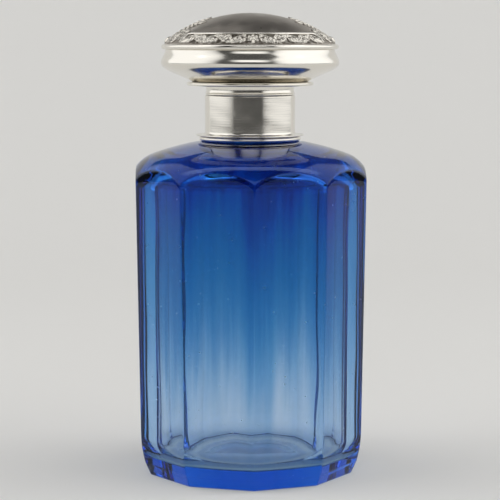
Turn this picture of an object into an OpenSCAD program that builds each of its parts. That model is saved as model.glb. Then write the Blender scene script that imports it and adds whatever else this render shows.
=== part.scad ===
// Facet-cut glass aftershave bottle with a silver collar and a silver-capped ground glass stopper.
// Millimetres, +Z up, origin at the middle of the foot, one cut edge straight to the front (-Y).

/* [Glass body] */
// Number of flats cut round the body
facets = 10; // [8:1:12]
// Radius over the cut edges at the shoulder
body_edge_r = 35.9; // [35:0.1:38]
// Radius over the cut edges where the flats start to curve in to the foot
lower_edge_r = 34.75; // [34.3:0.05:35]
// Radius over the cut edges at the top of the foot bevel
foot_edge_r = 33.4; // [33:0.1:33.8]
// Radius over the corners of the underside
underside_edge_r = 31.7; // [31:0.1:32]
// Height of the foot bevel
bevel_h = 3.8; // [3:0.1:5]
// Height of the stretch where the flats curve in to the foot
foot_curve_h = 9.2; // [8:0.1:11]
// Height of the glass shoulder where the collar sits
shoulder_z = 99.85; // [90:0.05:110]
// Radius of the nearly flat crown of the shoulder
crown_r = 87; // [75:0.5:100]
// Radius of the round that turns the shoulder down into the sides
corner_r = 10.7; // [9:0.1:12]
// How far the round blank stands outside the cut edges at its widest
blank_margin = 0.45; // [0.3:0.05:1]
// Radius of the hollow inside
cavity_r = 29.2; // [27:0.1:30]
// Thickness of the glass under the hollow
floor_t = 5.5; // [4.5:0.5:9]
// Round at the bottom of the hollow
cavity_floor_round = 5.5; // [4:0.5:9]
// Round at the top of the hollow
cavity_top_round = 7; // [5:0.5:9]
// Thickness of the glass at the shoulder
crown_t = 4.6; // [3.6:0.1:6]
// Radius of the ground hollow under the foot
punt_r = 16; // [12:0.5:22]
// Depth of the ground hollow under the foot
punt_depth = 0.7; // [0.4:0.1:1.5]

/* [Neck] */
// Outer radius of the glass neck
neck_r = 11.9; // [11.4:0.1:12.2]
// Height of the glass lip above the shoulder
neck_h = 12.85; // [12:0.05:16]
// Radius of the ground mouth at the lip
mouth_r = 9; // [8.8:0.05:9.4]
// Radius of the throat, where the ground mouth ends
throat_r = 8.2; // [7.8:0.05:8.5]
// Length of the ground mouth
ground_len = 12; // [11.8:0.1:12.6]

/* [Collar] */
// Outer radius of the silver collar
collar_r = 13.5; // [13.2:0.1:14]
// Thickness of the silver sheet of the collar
collar_wall = 0.6; // [0.5:0.05:0.8]
// Radius of the opening in the turned-in top edge of the collar
collar_top_r = 10.4; // [9.8:0.1:11]
// Radius of the thin flared lip at the foot of the collar
collar_lip_r = 16.1; // [15.8:0.1:17]
// Thickness of the flared lip
collar_lip_t = 0.45; // [0.35:0.05:0.6]
// Outer radius of the bead ring under the lip
bead_r = 15.2; // [14.8:0.1:15.4]
// Height of the bead ring
bead_h = 1.5; // [1.3:0.1:1.8]

/* [Stopper] */
// Clearance between the ground plug and the ground mouth
grind_gap = 0.05; // [0.03:0.01:0.08]
// Gap between the cap and the top edge of the collar
seat_gap = 0.2; // [0.1:0.05:0.3]
// Length of the plug below the lip of the glass
plug_len = 11; // [10:0.1:11.6]
// Radius of the head of the plug inside the cap
plug_head_r = 11; // [10.4:0.1:12]
// Height of the head of the plug
plug_head_h = 3.2; // [2.6:0.1:3.6]
// Radius of the ground hollow in the end of the plug
plug_dish_r = 5.6; // [4:0.1:6]
// Depth of the ground hollow in the end of the plug
plug_dish_depth = 1; // [0.5:0.1:1.6]

/* [Cap] */
// Thickness of the silver sheet of the cap
cap_wall = 0.8; // [0.6:0.05:0.9]
// Outer radius of the short ring under the cap
cap_ring_r = 13.4; // [13:0.1:14]
// Height of the short ring under the cap
cap_ring_h = 2.65; // [2:0.05:3.4]
// Radius of the plate that closes the underside of the cap
underplate_r = 19; // [18.2:0.1:20]
// Thickness of the plate that closes the underside of the cap
underplate_t = 1.1; // [0.8:0.1:1.4]
// Radius where the bowl of the cap meets the plate
bowl_foot_r = 17.2; // [16.4:0.1:17.6]
// Radius of the bowl at its widest
cap_r = 26.6; // [26.2:0.1:28]
// Height of the widest part of the bowl above the plate
bowl_widest_h = 5.75; // [5:0.05:6.4]
// Height of the bowl from the plate to the rim moulding
bowl_h = 9.65; // [8.8:0.05:11]
// Outer radius of the rim moulding
rim_r = 26.45; // [26:0.05:26.6]
// Height of the rim moulding
rim_h = 1.5; // [1.2:0.1:1.8]
// Radius of the ball of which the dome is a part
dome_r = 40; // [37:0.5:46]

/* [Ornament] */
// Width of the leaf border, measured level
border_w = 3.7; // [3.2:0.1:4.2]
// Leaf pairs on each side of the rosette
leaf_pairs = 6; // [4:1:7]
// Half angle of the front and back stretches of border
border_half_angle = 56; // [50:1:60]
// Height of the leaves above the dome
leaf_h = 0.7; // [0.4:0.05:0.9]
// Radius of the wire that edges the border
fillet_r = 0.35; // [0.25:0.05:0.45]
// Length of the middle leaf of each shell
shell_len = 12.4; // [10:0.2:13.4]
// Leaves on each side of the middle leaf of a shell
shell_side_leaves = 2; // [1:1:3]
// Radius of the scrolls beside a shell
scroll_r = 1.5; // [1:0.1:1.8]

/* [Smoothness] */
// Segments of every round form
round_steps = 96; // [48:8:160]

/* [Hidden] */
$fn = round_steps;
fine_steps = 2 * round_steps;
wire_steps = 24;

// Outside of the glass
facet_angle = 360 / facets;
flat_share = cos(facet_angle / 2);
blank_r = body_edge_r + blank_margin;
crown_centre_z = shoulder_z - sqrt(crown_r * crown_r - collar_r * collar_r);
corner_centre_r = blank_r - corner_r;
corner_centre_z = crown_centre_z
    + sqrt(pow(crown_r - corner_r, 2) - corner_centre_r * corner_centre_r);
edge_top_z = corner_centre_z + sqrt(corner_r * corner_r - pow(body_edge_r - corner_centre_r, 2));
foot_curve_top_z = bevel_h + foot_curve_h;
punt_ball_r = (punt_r * punt_r + punt_depth * punt_depth) / (2 * punt_depth);

// Hollow
hollow_crown_r = crown_r - crown_t;
floor_round_centre_r = cavity_r - cavity_floor_round;
floor_round_centre_z = floor_t + cavity_floor_round;
top_round_centre_r = cavity_r - cavity_top_round;
top_round_centre_z = crown_centre_z
    + sqrt(pow(hollow_crown_r - cavity_top_round, 2) - pow(top_round_centre_r, 2));
crown_join_r = top_round_centre_r * hollow_crown_r / (hollow_crown_r - cavity_top_round);

// Neck and collar
lip_z = shoulder_z + neck_h;
ground_end_z = lip_z - ground_len;
mouth_chamfer = 0.4;
collar_bore_r = collar_r - collar_wall;
collar_top_z = lip_z + collar_wall;
bead_round = bead_h / 2;
bead_centre_r = bead_r - bead_round;
bead_centre_z = crown_centre_z + sqrt(crown_r * crown_r - bead_centre_r * bead_centre_r) + bead_round;
bead_top_z = bead_centre_z + bead_round;
collar_foot_round = 0.8;
collar_top_round = 0.3;

// Stopper
plug_end_z = lip_z - plug_len;
plug_chamfer = 0.5;
plug_end_r = throat_r + (mouth_r - throat_r) * (plug_end_z - ground_end_z) / ground_len - grind_gap;
shank_r = mouth_r - grind_gap;
dish_ball_r = (plug_dish_r * plug_dish_r + plug_dish_depth * plug_dish_depth) / (2 * plug_dish_depth);

// Cap
cap_z = collar_top_z + seat_gap;
plate_z = cap_z + cap_ring_h;
bowl_z = plate_z + underplate_t;
rim_z = bowl_z + bowl_h;
dome_z = rim_z + rim_h;
ring_bore_r = cap_ring_r - cap_wall;
ring_waist = 0.35;
ring_web_r = shank_r + 0.35;
plate_edge = underplate_t / 2;
rim_round = rim_h / 2;
rim_centre_r = rim_r - rim_round;
bowl_top_r = rim_centre_r - 0.4;
bowl_web_r = bowl_foot_r - 2.2;
foot_reach = [4.3, 2.6];
side_reach = 2.4;
shoulder_reach = 1.55;
dome_foot_r = rim_centre_r - 0.1;
dome_centre_z = dome_z - sqrt(dome_r * dome_r - dome_foot_r * dome_foot_r);
head_z = bowl_z + 1.2;
head_top_z = head_z + plug_head_h;
head_chamfer = 0.6;

// Ornament, laid out in plan on the dome
lift = 0.01;
leaf_rows = 6;
border_outer_r = dome_foot_r - 0.2;
border_inner_r = border_outer_r - border_w;
border_middle_r = (border_outer_r + border_inner_r) / 2;
tip_gap = fillet_r + 0.15;
stem_gap = 0.45;
border_leaf_w = 0.37 * border_w;
border_leaf_share = 0.86;
border_leaf_bend = 0.25;
fork_share = 0.15;
berry_r = 0.7 * leaf_h;
rosette_angle = 6.5;
petals = 5;
petal_w = 0.3 * border_w;
petal_gap = 0.1;
petal_reach = 0.46 * border_w;
rosette_boss_r = 0.9 * leaf_h;
shell_focus_r = border_outer_r - 1.2;
shell_boss_r = 1.1;
shell_fan_angle = 50;
shell_leaf_w = 2.9;
shell_leaf_bend = 0.5;
scroll_path_r = border_outer_r - scroll_r - fillet_r - 0.15;
scroll_turn = 21;
scroll_ends = [-150, 110];
side_leaf_w = 1.5;
inner_leaf_end = 15;
outer_leaf_ends = [27.5, 33.5];

// Points on a cubic curve
function curve(p0, p1, p2, p3, steps) = [for (i = [0:steps]) let (t = i / steps, s = 1 - t)
    s * s * s * p0 + 3 * s * s * t * p1 + 3 * s * t * t * p2 + t * t * t * p3];

// Points on an arc
function arc(centre, r, from, to, steps) = [for (i = [0:steps]) let (a = from + (to - from) * i / steps)
    centre + r * [cos(a), sin(a)]];

function reversed(points) = [for (i = [len(points) - 1:-1:0]) points[i]];

// A solid of revolution given by the points of its half section
module turned(points) {
    rotate_extrude() polygon(points);
}

// A ball on the axis
module ball(centre_z, r) {
    translate([0, 0, centre_z]) sphere(r, $fn = fine_steps);
}

// Half section of the round blank, before the flats are cut
module blank_section() {
    join_r = corner_centre_r * crown_r / (crown_r - corner_r);
    intersection() {
        translate([0, crown_centre_z]) circle(crown_r, $fn = fine_steps);
        square([join_r, shoulder_z + crown_r]);
    }
    intersection() {
        translate([corner_centre_r, corner_centre_z]) circle(corner_r);
        translate([corner_centre_r, 0]) square([corner_r, 2 * shoulder_z]);
    }
    square([blank_r, corner_centre_z]);
}

// What one flat takes away, seen from its end: all outside its bevel, its foot curve and its straight
module cut_section() {
    foot_d = foot_edge_r * flat_share;
    lower_d = lower_edge_r * flat_share;
    body_d = body_edge_r * flat_share;
    drop = lower_d - foot_d;
    lean = atan2(body_d - lower_d, edge_top_z - foot_curve_top_z);
    bend_r = (foot_curve_h * foot_curve_h + drop * drop)
        / (2 * (drop * cos(lean) - foot_curve_h * sin(lean)));
    bend_centre = [lower_d - bend_r * cos(lean), foot_curve_top_z + bend_r * sin(lean)];
    far = 2 * blank_r;
    bevel_slope = (foot_d - underside_edge_r * flat_share) / bevel_h;
    polygon([[foot_d - 2 * bevel_h * bevel_slope, -bevel_h], [foot_d, bevel_h],
        [far, bevel_h], [far, -bevel_h]]);
    difference() {
        translate([bend_centre[0], bevel_h]) square([far - bend_centre[0], foot_curve_h]);
        translate(bend_centre) circle(bend_r, $fn = fine_steps);
    }
    polygon([[lower_d, foot_curve_top_z],
        [lower_d + 2 * shoulder_z * tan(lean), foot_curve_top_z + 2 * shoulder_z],
        [far, foot_curve_top_z + 2 * shoulder_z], [far, foot_curve_top_z]]);
}

module flat_cuts() {
    for (i = [0:facets - 1]) rotate([0, 0, (i + 0.5) * facet_angle - 90])
        rotate([90, 0, 0]) linear_extrude(2 * blank_r, center = true) cut_section();
}

// Half section of the hollow
module hollow_section() {
    translate([0, floor_round_centre_z]) square([cavity_r, top_round_centre_z - floor_round_centre_z]);
    translate([0, floor_t]) square([floor_round_centre_r, cavity_floor_round]);
    intersection() {
        translate([floor_round_centre_r, floor_round_centre_z]) circle(cavity_floor_round);
        translate([floor_round_centre_r, floor_t]) square(cavity_floor_round);
    }
    intersection() {
        translate([0, crown_centre_z]) circle(hollow_crown_r, $fn = fine_steps);
        translate([0, top_round_centre_z]) square([crown_join_r, shoulder_z]);
    }
    intersection() {
        translate([top_round_centre_r, top_round_centre_z]) circle(cavity_top_round);
        translate([top_round_centre_r, top_round_centre_z]) square(cavity_top_round);
    }
}

// Ground mouth with a small chamfer at the lip, and the throat under it
module mouth() {
    throat_z = ground_end_z - 2 * crown_t;
    turned([[0, throat_z], [throat_r, throat_z], [throat_r, ground_end_z], [mouth_r, lip_z],
        [mouth_r, lip_z + mouth_chamfer], [0, lip_z + mouth_chamfer]]);
}

module glass_body() {
    color([0.05, 0.2, 0.75, 0.55]) difference() {
        union() {
            difference() {
                rotate_extrude() blank_section();
                flat_cuts();
            }
            translate([0, 0, shoulder_z - crown_t / 2]) cylinder(r = neck_r, h = neck_h + crown_t / 2);
        }
        rotate_extrude() hollow_section();
        mouth();
        ball(punt_depth - punt_ball_r, punt_ball_r);
    }
}

// Soft cement that fills the space between the glass neck and the silver
module collar_cement() {
    color("ghostwhite") difference() {
        translate([0, 0, shoulder_z - bead_h]) cylinder(r = collar_bore_r, h = neck_h + bead_h);
        translate([0, 0, shoulder_z - 2 * bead_h]) cylinder(r = neck_r, h = neck_h + 3 * bead_h);
        ball(crown_centre_z, crown_r);
    }
}

module collar_bead_ring() {
    color("silver") difference() {
        rotate_extrude() {
            translate([bead_centre_r, bead_centre_z]) circle(bead_round);
            translate([collar_bore_r, bead_top_z - 2 * bead_h])
                square([bead_centre_r - collar_bore_r, 2 * bead_h]);
        }
        ball(crown_centre_z, crown_r);
    }
}

module collar_sleeve() {
    lip_top_z = bead_top_z + collar_lip_t;
    color("silver") turned(concat(
        [[collar_bore_r, bead_top_z], [collar_lip_r - 2 * collar_lip_t, bead_top_z]],
        [[collar_lip_r, bead_top_z + collar_lip_t / 2], [collar_lip_r - collar_lip_t, lip_top_z]],
        arc([collar_r + collar_foot_round, lip_top_z + collar_foot_round], collar_foot_round, 270, 180, 6),
        arc([collar_r - collar_top_round, collar_top_z - collar_top_round], collar_top_round, 0, 90, 4),
        [[collar_top_r, collar_top_z], [collar_top_r, lip_z], [collar_bore_r, lip_z]]));
}

module stopper_plug() {
    color([0.1, 0.3, 0.85, 0.6]) difference() {
        turned([[0, plug_end_z], [plug_end_r - plug_chamfer, plug_end_z],
            [plug_end_r, plug_end_z + plug_chamfer], [shank_r, lip_z], [shank_r, head_z - head_chamfer],
            [plug_head_r - head_chamfer, head_z], [plug_head_r, head_z + head_chamfer],
            [plug_head_r, head_top_z - head_chamfer], [plug_head_r - head_chamfer, head_top_z],
            [0, head_top_z]]);
        ball(plug_end_z + plug_dish_depth - dish_ball_r, dish_ball_r);
    }
}

module cap_neck_ring() {
    flat = 0.3;
    color("silver") turned(concat(
        [[ring_web_r, cap_z], [cap_ring_r, cap_z]],
        curve([cap_ring_r, cap_z + flat], [cap_ring_r - ring_waist, cap_z + 2 * flat],
            [cap_ring_r - ring_waist, plate_z - 2 * flat], [cap_ring_r, plate_z], 8),
        [[ring_bore_r - ring_waist, plate_z], [ring_bore_r - ring_waist, cap_z + cap_wall],
            [ring_web_r, cap_z + cap_wall]]));
}

module cap_underplate() {
    color("silver") rotate_extrude() {
        translate([underplate_r - plate_edge, plate_z + plate_edge]) circle(plate_edge);
        translate([ring_bore_r, plate_z]) square([underplate_r - plate_edge - ring_bore_r, underplate_t]);
    }
}

// Section of the bowl from its foot, round the widest part, to the rim, drawn inset from its outside
function bowl_line(inset) = let (widest_z = bowl_z + bowl_widest_h, r = cap_r - inset,
    top_r = bowl_top_r - inset) concat(
        curve([bowl_foot_r - inset, bowl_z + inset],
            [bowl_foot_r + foot_reach[0] - inset / 2, bowl_z + foot_reach[1] + inset],
            [r, widest_z - side_reach + inset / 2], [r, widest_z], 14),
        curve([r, widest_z], [r, widest_z + shoulder_reach],
            [top_r, rim_z - shoulder_reach], [top_r, rim_z], 10));

module cap_bowl() {
    color("silver") turned(concat(bowl_line(0), reversed(bowl_line(cap_wall)),
        [[bowl_web_r, bowl_z + cap_wall], [bowl_web_r, bowl_z]]));
}

module cap_rim_moulding() {
    inner_r = bowl_top_r - cap_wall;
    color("silver") rotate_extrude() {
        translate([rim_centre_r, rim_z + rim_round]) circle(rim_round);
        translate([inner_r, rim_z]) square([rim_centre_r - inner_r, rim_h]);
    }
}

module cap_dome() {
    color("silver") difference() {
        intersection() {
            ball(dome_centre_z, dome_r);
            translate([0, 0, dome_z]) cylinder(r = dome_foot_r, h = dome_r);
        }
        ball(dome_centre_z, dome_r - cap_wall);
    }
}

// Plaster that holds the plug and fills the cap
module cap_cement() {
    bore_r = ring_bore_r - ring_waist;
    top_r = bowl_top_r - cap_wall;
    color("ghostwhite") difference() {
        intersection() {
            turned(concat([[0, cap_z + cap_wall], [bore_r, cap_z + cap_wall], [bore_r, bowl_z],
                [bowl_web_r, bowl_z], [bowl_web_r, bowl_z + cap_wall]], bowl_line(cap_wall),
                [[top_r, dome_z + dome_r], [0, dome_z + dome_r]]));
            ball(dome_centre_z, dome_r - cap_wall);
        }
        stopper_plug();
    }
}

// Point over the plan place p, at height h above the dome
function on_dome(p, h) = let (z = sqrt(dome_r * dome_r - p * p))
    [0, 0, dome_centre_z] + [p[0], p[1], z] * (dome_r + h) / dome_r;

// Plan place at angle a from the front and distance r from the axis
function polar(a, r) = r * [sin(a), -cos(a)];

// Places across a leaf: share of the half width and share of the height
LEAF_SECTION = [[-1, 0], [-0.55, 0.8], [0, 0.55], [0.55, 0.8], [1, 0]];

// A chased leaf on the dome, two lobes and a vein between, along a bent line from base to tip
module leaf(base, tip, width, height, bend = 0, fullest = 1) {
    rows = leaf_rows;
    n = len(LEAF_SECTION);
    along = tip - base;
    seat = lift + (pow(width / 2, 2) + pow(norm(along) / rows / 2, 2)) / (2 * dome_r);
    across = [-along[1], along[0]] / norm(along);
    middle = [for (i = [1:rows - 1]) let (t = i / rows) base + along * t + across * bend * sin(180 * t)];
    ring = [for (i = [1:rows - 1]) let (t = i / rows, swell = sin(180 * pow(t, fullest)),
        side = across * width / 2 * pow(swell, 0.8), rise = height * (0.6 + 0.4 * swell))
        for (k = LEAF_SECTION) on_dome(middle[i - 1] + side * k[0], seat + rise * k[1])];
    last = (rows - 2) * n;
    ends = [on_dome(base, seat), on_dome(tip, seat)];
    polyhedron(concat(ring, ends), concat(
        [for (i = [0:rows - 3]) for (j = [0:n - 1]) [i * n + j, i * n + (j + 1) % n, (i + 1) * n + j]],
        [for (i = [0:rows - 3]) for (j = [0:n - 1])
            [i * n + (j + 1) % n, (i + 1) * n + (j + 1) % n, (i + 1) * n + j]],
        [for (j = [0:n - 1]) [(rows - 1) * n, (j + 1) % n, j]],
        [for (j = [0:n - 1]) [(rows - 1) * n + 1, last + j, last + (j + 1) % n]]));
}

// Stands its children on the dome over the plan place p, their +Z away from the metal
module standing(p) {
    translate(on_dome(p, lift)) rotate([0, 0, atan2(p[1], p[0])])
        rotate([0, asin(norm(p) / dome_r), 0]) children();
}

// A half-round boss
module berry(p, r) {
    standing(p) rotate_extrude() intersection() {
        circle(r, $fn = wire_steps);
        square(r);
    }
}

// A run of leaves from the rosette to the end of the border, with a berry in each fork
module leaf_run(side) {
    pitch = (border_half_angle - rosette_angle) / leaf_pairs;
    tip_offset = border_w / 2 - tip_gap;
    for (i = [0:leaf_pairs - 1]) {
        tip_a = rosette_angle + i * pitch;
        base_a = tip_a + pitch * border_leaf_share;
        for (edge = [-1, 1])
            leaf(polar(side * base_a, border_middle_r + edge * stem_gap),
                polar(side * tip_a, border_middle_r + edge * tip_offset),
                border_leaf_w, leaf_h, bend = -side * edge * border_leaf_bend);
        berry(polar(side * (tip_a + pitch * fork_share), border_middle_r), berry_r);
    }
}

// Petals round a boss
module rosette() {
    centre = polar(0, border_middle_r);
    for (i = [0:petals - 1]) let (a = (i + 0.5) * 360 / petals, out = [sin(a), cos(a)])
        leaf(centre + out * (rosette_boss_r + petal_gap), centre + out * petal_reach, petal_w, leaf_h);
    berry(centre, rosette_boss_r);
}

module leaf_border() {
    color("gainsboro") for (turn = [0, 180]) rotate([0, 0, turn]) {
        rosette();
        leaf_run(1);
        leaf_run(-1);
    }
}

// Wires that part the border from the plain middle of the dome
module border_fillets() {
    wire = on_dome([border_inner_r, 0], fillet_r + lift);
    color("silver") for (turn = [0, 180]) rotate([0, 0, turn - 90 - border_half_angle])
        rotate_extrude(angle = 2 * border_half_angle)
            translate([wire[0], wire[2]]) circle(fillet_r, $fn = wire_steps);
}

// An open scroll of wire round an eye
module scroll(p) {
    standing(p) translate([0, 0, fillet_r]) rotate([0, 0, scroll_ends[0]])
        rotate_extrude(angle = scroll_ends[1] - scroll_ends[0])
            translate([scroll_r, 0]) circle(fillet_r, $fn = wire_steps);
    berry(p, berry_r);
}

// A shell of fanned leaves round a boss
module shell_fan() {
    focus = [shell_focus_r, 0];
    step = shell_fan_angle / shell_side_leaves;
    for (i = [-shell_side_leaves:shell_side_leaves]) {
        share = abs(i) / shell_side_leaves;
        out = [-cos(i * step), sin(i * step)];
        reach = shell_len * (1 - 0.25 * share + 0.06 * share * share);
        leaf(focus + out * (shell_boss_r + 0.3), focus + out * reach, shell_leaf_w, leaf_h,
            bend = -sign(i) * shell_leaf_bend * share, fullest = 1.3);
    }
    berry(focus, shell_boss_r);
}

// Shells between the two stretches of border, each with a scroll and two small leaves at its sides
module shell_ornaments() {
    color("gainsboro") for (turn = [0, 180]) rotate([0, 0, turn]) {
        shell_fan();
        for (side = [0, 1]) mirror([0, side, 0]) {
            scroll(polar(90 + scroll_turn, scroll_path_r));
            leaf([shell_focus_r, shell_boss_r + stem_gap],
                polar(90 + inner_leaf_end, scroll_path_r + fillet_r),
                side_leaf_w, leaf_h, bend = -border_leaf_bend);
            leaf(polar(90 + outer_leaf_ends[0], scroll_path_r),
                polar(90 + outer_leaf_ends[1], scroll_path_r), side_leaf_w, leaf_h);
        }
    }
}

glass_body();
collar_cement();
collar_sleeve();
collar_bead_ring();
stopper_plug();
cap_cement();
cap_neck_ring();
cap_underplate();
cap_bowl();
cap_rim_moulding();
cap_dome();
border_fillets();
leaf_border();
shell_ornaments();
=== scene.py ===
import math
import bpy
import numpy as np
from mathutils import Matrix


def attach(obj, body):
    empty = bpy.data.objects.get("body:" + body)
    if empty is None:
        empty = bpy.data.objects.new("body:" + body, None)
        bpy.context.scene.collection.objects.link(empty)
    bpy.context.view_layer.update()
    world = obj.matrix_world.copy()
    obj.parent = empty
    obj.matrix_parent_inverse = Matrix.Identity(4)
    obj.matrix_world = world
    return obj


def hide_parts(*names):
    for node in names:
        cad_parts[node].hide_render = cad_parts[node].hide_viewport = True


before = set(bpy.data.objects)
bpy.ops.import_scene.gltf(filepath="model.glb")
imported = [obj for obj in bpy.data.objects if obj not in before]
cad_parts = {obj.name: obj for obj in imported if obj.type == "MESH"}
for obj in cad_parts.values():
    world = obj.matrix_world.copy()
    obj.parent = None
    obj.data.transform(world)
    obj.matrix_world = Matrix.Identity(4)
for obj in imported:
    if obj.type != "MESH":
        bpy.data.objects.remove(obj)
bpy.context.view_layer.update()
mm = 0.001      # the pieces are given in mm and degrees, the studio in metres


def linearColour(hexText):
    # sRGB hex to the linear values that the shader sockets take, opaque
    parts = [int(hexText[i:i + 2], 16) / 255 for i in (1, 3, 5)]
    return [p / 12.92 if p <= 0.04045 else ((p + 0.055) / 1.055) ** 2.4 for p in parts] + [1.0]


def addNode(tree, kind, inputs=None, **settings):
    # one node, its settings, and for each input a value or the socket that feeds it
    node = tree.nodes.new(kind)
    for key, value in settings.items():
        setattr(node, key, value)
    for key, value in (inputs or {}).items():
        if isinstance(value, bpy.types.NodeSocket):
            tree.links.new(value, node.inputs[key])
        else:
            node.inputs[key].default_value = value
    return node


def newMaterial(name, sockets):
    # a Principled material with its constants on the sockets themselves, and Object coordinates
    material = bpy.data.materials.new(name)
    material.use_nodes = True
    tree = material.node_tree
    shader = tree.nodes["Principled BSDF"]
    for key, value in sockets.items():
        shader.inputs[key].default_value = value
    place = addNode(tree, "ShaderNodeTexCoord").outputs["Object"]
    return material, tree, shader, place


def signedVolume(points, faces):
    # a sixth of the sum of a . (b x c) over the two triangles of every four-cornered face
    a, b, c, d = (points[faces[:, k]] for k in range(4))
    halves = [np.einsum("ij,ij->i", a, np.cross(p, q)) for p, q in ((b, c), (c, d))]
    return (halves[0] + halves[1]).sum() / 6


def gridPiece(name, grid, body, material, replaces=(), poles=False, relief=None):
    # a closed mesh from rows x columns x 3 points in mm: each face joins the corners of one cell.
    # The columns close on themselves. So do the rows, or with poles the first and the last row
    # are one point each, with triangles round it
    rows, cols = grid.shape[:2]
    index = np.arange(rows * cols).reshape(rows, cols)
    if poles:
        index[0], index[-1] = index[0, 0], index[-1, 0]
    near = index[:-1] if poles else index
    far = index[1:] if poles else np.roll(index, -1, axis=0)
    faces = np.stack([near, np.roll(near, -1, axis=1), np.roll(far, -1, axis=1), far], axis=-1)
    faces = faces.reshape(-1, 4)
    points = grid.reshape(-1, 3) * mm
    order = -1 if signedVolume(points, faces) < 0 else 1       # turns every face outwards
    used = np.zeros(len(points), bool)
    used[faces] = True
    faces = (np.cumsum(used) - 1)[faces]
    corners = faces[:, ::order].tolist()
    if poles:
        corners[:cols] = faces[:cols, [0, 2, 3]][:, ::order].tolist()
        corners[-cols:] = faces[-cols:, [0, 1, 2]][:, ::order].tolist()
    mesh = bpy.data.meshes.new(name)
    mesh.from_pydata(points[used].tolist(), [], corners)
    mesh.shade_smooth()
    mesh.materials.append(material)
    if relief is not None:
        heights = mesh.attributes.new("relief", "FLOAT", "POINT")
        heights.data.foreach_set("value", relief.ravel()[used])
    piece = bpy.data.objects.new(name, mesh)
    bpy.context.scene.collection.objects.link(piece)
    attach(piece, body)
    if replaces:
        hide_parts(*replaces)
    return piece


def straight(start, end, count=6):
    # points from start to end by shares (1 - cos t) / 2, so closer together at both ends
    t = (1 - np.cos(np.linspace(0, math.pi, count))) / 2
    return np.outer(1 - t, start) + np.outer(t, end)


def arc(centre, radius, fromDegrees, toDegrees, count=8):
    # points on a circle from one angle to the other: centre + radius x (cos, sin)
    a = np.radians(np.linspace(fromDegrees, toDegrees, count))
    return np.array(centre) + radius * np.stack([np.cos(a), np.sin(a)], axis=1)


def cubic(p0, p1, p2, p3, count=24):
    # points on the cubic curve with those four control points
    t = np.linspace(0, 1, count)[:, None]
    s = 1 - t
    return s ** 3 * p0 + 3 * s * s * t * p1 + 3 * s * t * t * p2 + t ** 3 * p3


def profileOf(*parts):
    # one line of (radius, height) points from several, without the points that repeat at a joint
    line = np.vstack([np.atleast_2d(np.array(p, float)) for p in parts])
    step = np.hypot(*np.diff(line, axis=0).T)
    return line[np.concatenate([[True], step > 1e-5])]


def turned(line, columns=192, waver=0.0, seed=1):
    # the line turned round the axis: (r cos a, r sin a, z). As hand-spun silver isn't quite round,
    # waver mm times the sum over n = 2, 3, 5 of sin(n (a + lean z)) cos(n fade z) / n is added to
    # the radius, with phases by the seed, and less of it within fullR mm of the axis
    lean, fade, fullR, lobes = 0.11, 0.17, 5, (2, 3, 5)
    angle = np.linspace(0, 2 * math.pi, columns, endpoint=False)
    radius, height = line[:, :1], line[:, 1:]
    drift = np.zeros((len(line), columns))
    phases = np.random.default_rng(seed).uniform(0, 2 * math.pi, (len(lobes), 2))
    for n, (p, q) in zip(lobes, phases):
        drift += np.sin(n * angle + p + lean * n * height) * np.cos(fade * n * height + q) / n
    radius = np.maximum(radius + waver * drift * np.minimum(1, radius / fullR), 0)
    height = np.broadcast_to(height, radius.shape)
    return np.stack([radius * np.cos(angle), radius * np.sin(angle), height], axis=-1)


bottle = {
    "facets": 10,
    "undersideR": 31.7, "footR": 33.4, "lowerR": 34.75, "bodyR": 35.9,    # over the cut edges
    "bevelTop": 3.8, "curveTop": 13.0, "edgeTop": 88.83,                  # heights up the flats
    "cornerCentre": (25.65, 85.76), "cornerR": 10.7,                      # shoulder of the blank
    "crownZ": 13.904, "crownR": 87.0,                                     # ball of its crown
    "neckR": 11.9, "neckFootZ": 100.2, "lipZ": 112.7, "lipRound": 0.4,
    "mouthR": 9.0, "mouthRound": 0.25, "groundEndZ": 100.7, "throatR": 8.2, "throatEndZ": 96.6,
    "puntR": 16.0, "puntDepth": 0.7,                                      # hollow under the foot
    "hollowR": 29.2, "hollowCrownR": 82.4, "topRoundCentre": (22.2, 85.96), "topRound": 7.0,
    "floorZ": 5.5, "floorRound": 5.5,
    "polish": 11.0,          # sharpness of the polished cut edges, per mm
    "blownWaver": 0.16,      # how far the blown hollow wanders from round, mm
}
nearEdge = np.array([0, 0.06, 0.15, 0.3, 0.6, 1.1])      # mm from a cut edge, where rows crowd in


def edgeColumns(facets):
    # angles round the body, with an edge straight ahead at -Y: the columns crowd in towards each
    # cut edge, at these mm from it on a circle of 35 mm
    offsets = np.array([0.06, 0.14, 0.26, 0.45, 0.8, 1.5, 2.8, 4.9, 7.8]) / 35.0
    whole = 2 * math.pi / facets
    one = np.concatenate([[0], offsets, [whole / 2], whole - offsets[::-1]])
    return (np.arange(facets)[:, None] * whole + one).ravel() - math.pi / 2


def cutApothem(z):
    # distance of a flat from the axis at height z. The bevel leans out straight, the foot curve
    # is an arc from the bevel's top that runs into the taper, and the taper is straight
    share = math.cos(math.pi / bottle["facets"])
    under, foot = bottle["undersideR"] * share, bottle["footR"] * share
    lower, body = bottle["lowerR"] * share, bottle["bodyR"] * share
    low, high, top = bottle["bevelTop"], bottle["curveTop"], bottle["edgeTop"]
    slope = (body - lower) / (top - high)
    lean = math.atan(slope)
    drop, rise = lower - foot, high - low
    bend = (rise ** 2 + drop ** 2) / (2 * (drop * math.cos(lean) - rise * math.sin(lean)))
    centreR, centreZ = lower - bend * math.cos(lean), high + bend * math.sin(lean)
    curve = centreR + np.sqrt(np.maximum(bend ** 2 - (np.clip(z, low, high) - centreZ) ** 2, 0))
    taper = lower + slope * (z - high)
    return np.where(z < low, under + (foot - under) * z / low, np.where(z < high, curve, taper))


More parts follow.
